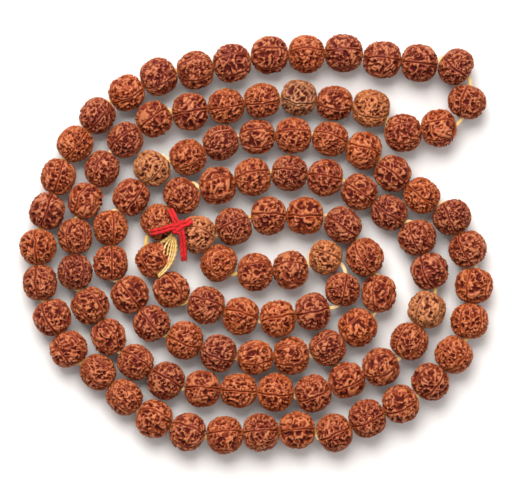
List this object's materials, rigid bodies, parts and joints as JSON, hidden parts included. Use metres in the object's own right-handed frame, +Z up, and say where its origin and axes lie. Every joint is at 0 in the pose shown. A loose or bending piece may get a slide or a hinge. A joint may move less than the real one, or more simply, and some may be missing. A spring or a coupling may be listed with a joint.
{
  "type": "mala prayer beads",
  "caption": "Long strand of round grooved seed beads on a cotton cord, laid flat in a double spiral, closed by a guru bead with a knot, a red thread and short cord tails.",
  "frame": {"origin": "centre of the bounding box at its base, on the surface the beads rest on", "axes": "+X along the longest extent of the laid strand, +Z up from the table"},
  "size_m": [0.1046, 0.0928, 0.0089],
  "materials": {
    "bead_seed": "reddish brown ridged seed, lightly polished by handling",
    "guru_seed": "lighter tan brown ridged seed, lightly polished",
    "cotton_cord": "plied cream cotton cord, matt",
    "red_thread": "red cotton thread, matt"
  },
  "bodies": {
    "strand": {"cord": "cotton_cord", "cord_knot": "cotton_cord", "red_thread": "red_thread"},
    "guru_bead": {"guru_bead": "guru_seed"},
    "bead_001": {"bead_001": "bead_seed"},
    "beads_002_003": {"beads_002_003": "bead_seed"},
    "bead_004": {"bead_004": "bead_seed"},
    "bead_005": {"bead_005": "bead_seed"},
    "bead_006": {"bead_006": "bead_seed"},
    "beads_007_008": {"beads_007_008": "bead_seed"},
    "beads_009_010": {"beads_009_010": "bead_seed"},
    "beads_011_012": {"beads_011_012": "bead_seed"},
    "beads_013_014": {"beads_013_014": "bead_seed"},
    "beads_015_016": {"beads_015_016": "bead_seed"},
    "beads_017_018": {"beads_017_018": "bead_seed"},
    "beads_019_020": {"beads_019_020": "bead_seed"},
    "beads_021_022": {"beads_021_022": "bead_seed"},
    "beads_023_024": {"beads_023_024": "bead_seed"},
    "beads_025_026": {"beads_025_026": "bead_seed"},
    "beads_027_028": {"beads_027_028": "bead_seed"},
    "beads_029_030": {"beads_029_030": "bead_seed"},
    "beads_031_032": {"beads_031_032": "bead_seed"},
    "beads_033_035": {"beads_033_035": "bead_seed"},
    "beads_036_038": {"beads_036_038": "bead_seed"},
    "beads_039_040": {"beads_039_040": "bead_seed"},
    "beads_041_042": {"beads_041_042": "bead_seed"},
    "beads_043_044": {"beads_043_044": "bead_seed"},
    "beads_045_046": {"beads_045_046": "bead_seed"},
    "beads_047_048": {"beads_047_048": "bead_seed"},
    "beads_049_050": {"beads_049_050": "bead_seed"},
    "beads_051_052": {"beads_051_052": "bead_seed"},
    "beads_053_054": {"beads_053_054": "bead_seed"},
    "beads_055_057": {"beads_055_057": "bead_seed"},
    "beads_058_059": {"beads_058_059": "bead_seed"},
    "bead_060": {"bead_060": "bead_seed"},
    "bead_061": {"bead_061": "bead_seed"},
    "beads_062_063": {"beads_062_063": "bead_seed"},
    "beads_064_066": {"beads_064_066": "bead_seed"},
    "beads_067_069": {"beads_067_069": "bead_seed"},
    "beads_070_071": {"beads_070_071": "bead_seed"},
    "beads_072_073": {"beads_072_073": "bead_seed"},
    "beads_074_075": {"beads_074_075": "bead_seed"},
    "beads_076_077": {"beads_076_077": "bead_seed"},
    "beads_078_079": {"beads_078_079": "bead_seed"},
    "beads_080_082": {"beads_080_082": "bead_seed"},
    "beads_083_085": {"beads_083_085": "bead_seed"},
    "beads_086_087": {"beads_086_087": "bead_seed"},
    "beads_088_089": {"beads_088_089": "bead_seed"},
    "beads_090_091": {"beads_090_091": "bead_seed"},
    "beads_092_093": {"beads_092_093": "bead_seed"},
    "beads_094_095": {"beads_094_095": "bead_seed"},
    "beads_096_097": {"beads_096_097": "bead_seed"},
    "beads_098_099": {"beads_098_099": "bead_seed"},
    "beads_100_101": {"beads_100_101": "bead_seed"},
    "beads_102_103": {"beads_102_103": "bead_seed"},
    "bead_104": {"bead_104": "bead_seed"},
    "bead_105": {"bead_105": "bead_seed"},
    "beads_106_107": {"beads_106_107": "bead_seed"},
    "bead_108": {"bead_108": "bead_seed"},
    "cord_tail": {"cord_tail": "cotton_cord"}
  },
  "joints": [
    {"name": "cord_tail_lift", "type": "hinge", "parent": "strand", "child": "cord_tail", "pos_m": [-0.0179, 0.00139, 0.00592], "axis": [-0.9336, 0.3584, 0], "range_deg": [0, 45]},
    {"name": "guru_bead_spin", "type": "hinge", "parent": "strand", "child": "guru_bead", "pos_m": [-0.01301, 0.00211, 0.00371], "axis": [0.9363, -0.3512, 0], "continuous": true},
    {"name": "bead_001_spin", "type": "hinge", "parent": "strand", "child": "bead_001", "pos_m": [-0.00507, 0.00382, 0.00371], "axis": [0.9002, 0.4356, 0], "continuous": true},
    {"name": "beads_002_003_spin", "type": "hinge", "parent": "strand", "child": "beads_002_003", "pos_m": [0.00677, 0.00618, 0.00371], "axis": [1, 0.0008, 0], "continuous": true},
    {"name": "bead_004_spin", "type": "hinge", "parent": "strand", "child": "bead_004", "pos_m": [0.01916, 0.00419, 0.00371], "axis": [0.8241, -0.5664, 0], "continuous": true},
    {"name": "bead_005_spin", "type": "hinge", "parent": "strand", "child": "bead_005", "pos_m": [0.02419, -0.00313, 0.00371], "axis": [0.4695, -0.8829, 0], "continuous": true},
    {"name": "bead_006_spin", "type": "hinge", "parent": "strand", "child": "bead_006", "pos_m": [0.02723, -0.01085, 0.00371], "axis": [-0.0855, -0.9963, 0], "continuous": true},
    {"name": "beads_007_008_spin", "type": "hinge", "parent": "strand", "child": "beads_007_008", "pos_m": [0.01913, -0.02091, 0.00371], "axis": [-0.8276, -0.5613, 0], "continuous": true},
    {"name": "beads_009_010_spin", "type": "hinge", "parent": "strand", "child": "beads_009_010", "pos_m": [0.00381, -0.02503, 0.00371], "axis": [-0.999, -0.0453, 0], "continuous": true},
    {"name": "beads_011_012_spin", "type": "hinge", "parent": "strand", "child": "beads_011_012", "pos_m": [-0.01207, -0.02287, 0.00371], "axis": [-0.9335, 0.3587, 0], "continuous": true},
    {"name": "beads_013_014_spin", "type": "hinge", "parent": "strand", "child": "beads_013_014", "pos_m": [-0.02551, -0.01451, 0.00371], "axis": [-0.6042, 0.7968, 0], "continuous": true},
    {"name": "beads_015_016_spin", "type": "hinge", "parent": "strand", "child": "beads_015_016", "pos_m": [-0.03226, -0.00036, 0.00371], "axis": [-0.002, 1, 0], "continuous": true},
    {"name": "beads_017_018_spin", "type": "hinge", "parent": "strand", "child": "beads_017_018", "pos_m": [-0.02533, 0.01366, 0.00371], "axis": [0.5898, 0.8075, 0], "continuous": true},
    {"name": "beads_019_020_spin", "type": "hinge", "parent": "strand", "child": "beads_019_020", "pos_m": [-0.01146, 0.02085, 0.00371], "axis": [0.9147, 0.4041, 0], "continuous": true},
    {"name": "beads_021_022_spin", "type": "hinge", "parent": "strand", "child": "beads_021_022", "pos_m": [0.00428, 0.02394, 0.00371], "axis": [0.9996, 0.0273, 0], "continuous": true},
    {"name": "beads_023_024_spin", "type": "hinge", "parent": "strand", "child": "beads_023_024", "pos_m": [0.02022, 0.02202, 0.00371], "axis": [0.9456, -0.3253, 0], "continuous": true},
    {"name": "beads_025_026_spin", "type": "hinge", "parent": "strand", "child": "beads_025_026", "pos_m": [0.03355, 0.01313, 0.00371], "axis": [0.7942, -0.6076, 0], "continuous": true},
    {"name": "beads_027_028_spin", "type": "hinge", "parent": "strand", "child": "beads_027_028", "pos_m": [0.04521, 0.00242, 0.00371], "axis": [0.4421, -0.897, 0], "continuous": true},
    {"name": "beads_029_030_spin", "type": "hinge", "parent": "strand", "child": "beads_029_030", "pos_m": [0.04781, -0.01322, 0.00371], "axis": [-0.1261, -0.992, 0], "continuous": true},
    {"name": "beads_031_032_spin", "type": "hinge", "parent": "strand", "child": "beads_031_032", "pos_m": [0.04123, -0.02765, 0.00371], "axis": [-0.6517, -0.7584, 0], "continuous": true},
    {"name": "beads_033_035_spin", "type": "hinge", "parent": "strand", "child": "beads_033_035", "pos_m": [0.02464, -0.03874, 0.00371], "axis": [-0.9176, -0.3975, 0], "continuous": true},
    {"name": "beads_036_038_spin", "type": "hinge", "parent": "strand", "child": "beads_036_038", "pos_m": [0.00106, -0.04186, 0.00371], "axis": [-0.9975, -0.0713, 0], "continuous": true},
    {"name": "beads_039_040_spin", "type": "hinge", "parent": "strand", "child": "beads_039_040", "pos_m": [-0.01887, -0.04029, 0.00371], "axis": [-0.9324, 0.3613, 0], "continuous": true},
    {"name": "beads_041_042_spin", "type": "hinge", "parent": "strand", "child": "beads_041_042", "pos_m": [-0.0321, -0.03123, 0.00371], "axis": [-0.728, 0.6856, 0], "continuous": true},
    {"name": "beads_043_044_spin", "type": "hinge", "parent": "strand", "child": "beads_043_044", "pos_m": [-0.04331, -0.0199, 0.00371], "axis": [-0.4574, 0.8892, 0], "continuous": true},
    {"name": "beads_045_046_spin", "type": "hinge", "parent": "strand", "child": "beads_045_046", "pos_m": [-0.04815, -0.00464, 0.00371], "axis": [-0.0534, 0.9986, 0], "continuous": true},
    {"name": "beads_047_048_spin", "type": "hinge", "parent": "strand", "child": "beads_047_048", "pos_m": [-0.04513, 0.01111, 0.00371], "axis": [0.3055, 0.9522, 0], "continuous": true},
    {"name": "beads_049_050_spin", "type": "hinge", "parent": "strand", "child": "beads_049_050", "pos_m": [-0.03767, 0.02534, 0.00371], "axis": [0.6215, 0.7834, 0], "continuous": true},
    {"name": "beads_051_052_spin", "type": "hinge", "parent": "strand", "child": "beads_051_052", "pos_m": [-0.02519, 0.03537, 0.00371], "axis": [0.8907, 0.4546, 0], "continuous": true},
    {"name": "beads_053_054_spin", "type": "hinge", "parent": "strand", "child": "beads_053_054", "pos_m": [-0.00943, 0.03939, 0.00371], "axis": [0.9814, 0.1922, 0], "continuous": true},
    {"name": "beads_055_057_spin", "type": "hinge", "parent": "strand", "child": "beads_055_057", "pos_m": [0.01123, 0.04223, 0.00371], "axis": [0.9996, 0.0297, 0], "continuous": true},
    {"name": "beads_058_059_spin", "type": "hinge", "parent": "strand", "child": "beads_058_059", "pos_m": [0.03229, 0.04061, 0.00371], "axis": [0.9962, -0.0876, 0], "continuous": true},
    {"name": "bead_060_spin", "type": "hinge", "parent": "strand", "child": "bead_060", "pos_m": [0.04443, 0.03941, 0.00371], "axis": [0.7748, -0.6322, 0], "continuous": true},
    {"name": "bead_061_spin", "type": "hinge", "parent": "strand", "child": "bead_061", "pos_m": [0.04687, 0.03168, 0.00371], "axis": [-0.2446, -0.9696, 0], "continuous": true},
    {"name": "beads_062_063_spin", "type": "hinge", "parent": "strand", "child": "beads_062_063", "pos_m": [0.03674, 0.02522, 0.00371], "axis": [-0.9915, -0.1304, 0], "continuous": true},
    {"name": "beads_064_066_spin", "type": "hinge", "parent": "strand", "child": "beads_064_066", "pos_m": [0.01744, 0.03132, 0.00371], "axis": [-0.99, 0.141, 0], "continuous": true},
    {"name": "beads_067_069_spin", "type": "hinge", "parent": "strand", "child": "beads_067_069", "pos_m": [-0.00666, 0.03063, 0.00371], "axis": [-0.9885, -0.1512, 0], "continuous": true},
    {"name": "beads_070_071_spin", "type": "hinge", "parent": "strand", "child": "beads_070_071", "pos_m": [-0.02588, 0.02545, 0.00371], "axis": [-0.8081, -0.589, 0], "continuous": true},
    {"name": "beads_072_073_spin", "type": "hinge", "parent": "strand", "child": "beads_072_073", "pos_m": [-0.03604, 0.01311, 0.00371], "axis": [-0.4571, -0.8894, 0], "continuous": true},
    {"name": "beads_074_075_spin", "type": "hinge", "parent": "strand", "child": "beads_074_075", "pos_m": [-0.04014, -0.00232, 0.00371], "axis": [-0.0043, -1, 0], "continuous": true},
    {"name": "beads_076_077_spin", "type": "hinge", "parent": "strand", "child": "beads_076_077", "pos_m": [-0.03472, -0.01722, 0.00371], "axis": [0.5064, -0.8623, 0], "continuous": true},
    {"name": "beads_078_079_spin", "type": "hinge", "parent": "strand", "child": "beads_078_079", "pos_m": [-0.02329, -0.02835, 0.00371], "axis": [0.8555, -0.5177, 0], "continuous": true},
    {"name": "beads_080_082_spin", "type": "hinge", "parent": "strand", "child": "beads_080_082", "pos_m": [-0.00382, -0.03256, 0.00371], "axis": [0.9988, -0.0493, 0], "continuous": true},
    {"name": "beads_083_085_spin", "type": "hinge", "parent": "strand", "child": "beads_083_085", "pos_m": [0.02014, -0.03027, 0.00371], "axis": [0.933, 0.3598, 0], "continuous": true},
    {"name": "beads_086_087_spin", "type": "hinge", "parent": "strand", "child": "beads_086_087", "pos_m": [0.03593, -0.01812, 0.00371], "axis": [0.4763, 0.8793, 0], "continuous": true},
    {"name": "beads_088_089_spin", "type": "hinge", "parent": "strand", "child": "beads_088_089", "pos_m": [0.03715, -0.00232, 0.00371], "axis": [-0.3392, 0.9407, 0], "continuous": true},
    {"name": "beads_090_091_spin", "type": "hinge", "parent": "strand", "child": "beads_090_091", "pos_m": [0.02618, 0.00927, 0.00371], "axis": [-0.8183, 0.5748, 0], "continuous": true},
    {"name": "beads_092_093_spin", "type": "hinge", "parent": "strand", "child": "beads_092_093", "pos_m": [0.01137, 0.01524, 0.00371], "axis": [-0.9914, 0.1309, 0], "continuous": true},
    {"name": "beads_094_095_spin", "type": "hinge", "parent": "strand", "child": "beads_094_095", "pos_m": [-0.00462, 0.01388, 0.00371], "axis": [-0.972, -0.2351, 0], "continuous": true},
    {"name": "beads_096_097_spin", "type": "hinge", "parent": "strand", "child": "beads_096_097", "pos_m": [-0.01903, 0.00781, 0.00371], "axis": [-0.65, -0.76, 0], "continuous": true},
    {"name": "beads_098_099_spin", "type": "hinge", "parent": "strand", "child": "beads_098_099", "pos_m": [-0.02073, -0.00684, 0.00371], "axis": [0.4895, -0.872, 0], "continuous": true},
    {"name": "beads_100_101_spin", "type": "hinge", "parent": "strand", "child": "beads_100_101", "pos_m": [-0.00717, -0.01487, 0.00371], "axis": [0.9552, -0.2959, 0], "continuous": true},
    {"name": "beads_102_103_spin", "type": "hinge", "parent": "strand", "child": "beads_102_103", "pos_m": [0.00875, -0.01586, 0.00371], "axis": [0.9805, 0.1963, 0], "continuous": true},
    {"name": "bead_104_spin", "type": "hinge", "parent": "strand", "child": "bead_104", "pos_m": [0.01916, -0.01014, 0.00371], "axis": [0.2152, 0.9766, 0], "continuous": true},
    {"name": "bead_105_spin", "type": "hinge", "parent": "strand", "child": "bead_105", "pos_m": [0.01539, -0.00298, 0.00371], "axis": [-0.9339, 0.3576, 0], "continuous": true},
    {"name": "beads_106_107_spin", "type": "hinge", "parent": "strand", "child": "beads_106_107", "pos_m": [0.00375, -0.00604, 0.00371], "axis": [-0.9981, -0.061, 0], "continuous": true},
    {"name": "bead_108_spin", "type": "hinge", "parent": "strand", "child": "bead_108", "pos_m": [-0.00818, -0.00439, 0.00371], "axis": [-0.7093, 0.7049, 0], "continuous": true}
  ]
}
